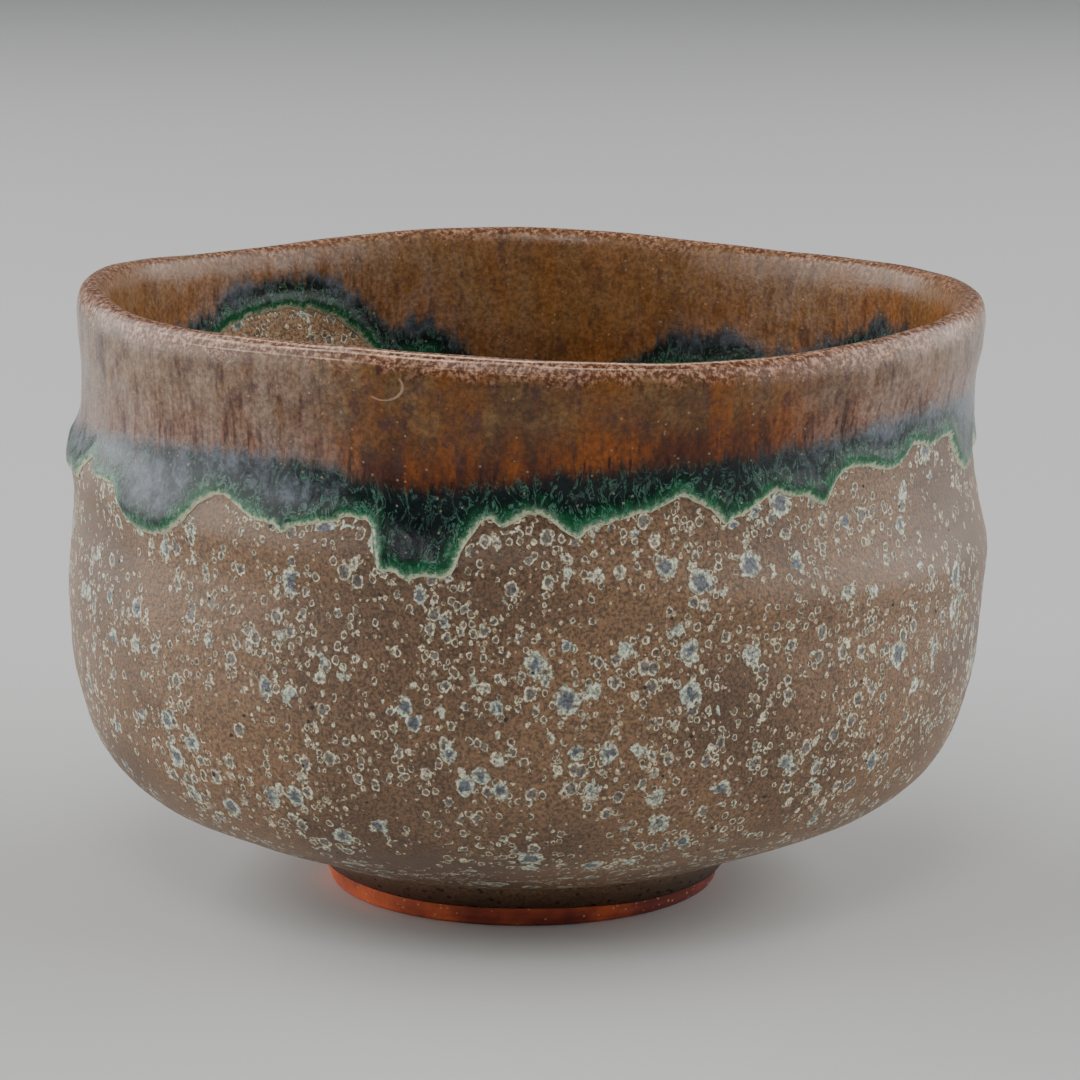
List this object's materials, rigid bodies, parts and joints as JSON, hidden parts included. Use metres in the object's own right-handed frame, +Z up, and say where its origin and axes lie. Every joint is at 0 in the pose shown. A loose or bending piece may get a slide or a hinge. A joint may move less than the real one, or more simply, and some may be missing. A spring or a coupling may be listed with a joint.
{
  "type": "matcha bowl",
  "caption": "Thrown stoneware tea bowl with a wavy rim, a throwing ridge, a low turned foot, and green and amber rim glazes that run down over a speckled brown one.",
  "frame": {"origin": "centre of the bowl's box, on the face of the foot that it stands on", "axes": "+Z up out of the mouth; the face shown to the viewer, with the longest squarish run of glaze, looks along -Y"},
  "size_m": [0.1222, 0.1224, 0.0817],
  "materials": {
    "raw_clay": "unglazed, brick red where it shows",
    "foot_clay": "unglazed at the bottom, turned and wiped",
    "speckled_outside": "satin, speckled brown",
    "speckled_inside": "satin, speckled beige",
    "green_runs": "glossy, blue-green runs",
    "amber_rim": "glossy, amber to pinkish brown"
  },
  "bodies": {
    "root": {"clay_body": "raw_clay", "foot_ring": "foot_clay", "outer_speckled_glaze": "speckled_outside", "inner_speckled_glaze": "speckled_inside", "green_glaze": "green_runs", "amber_rim_glaze": "amber_rim"}
  },
  "joints": []
}
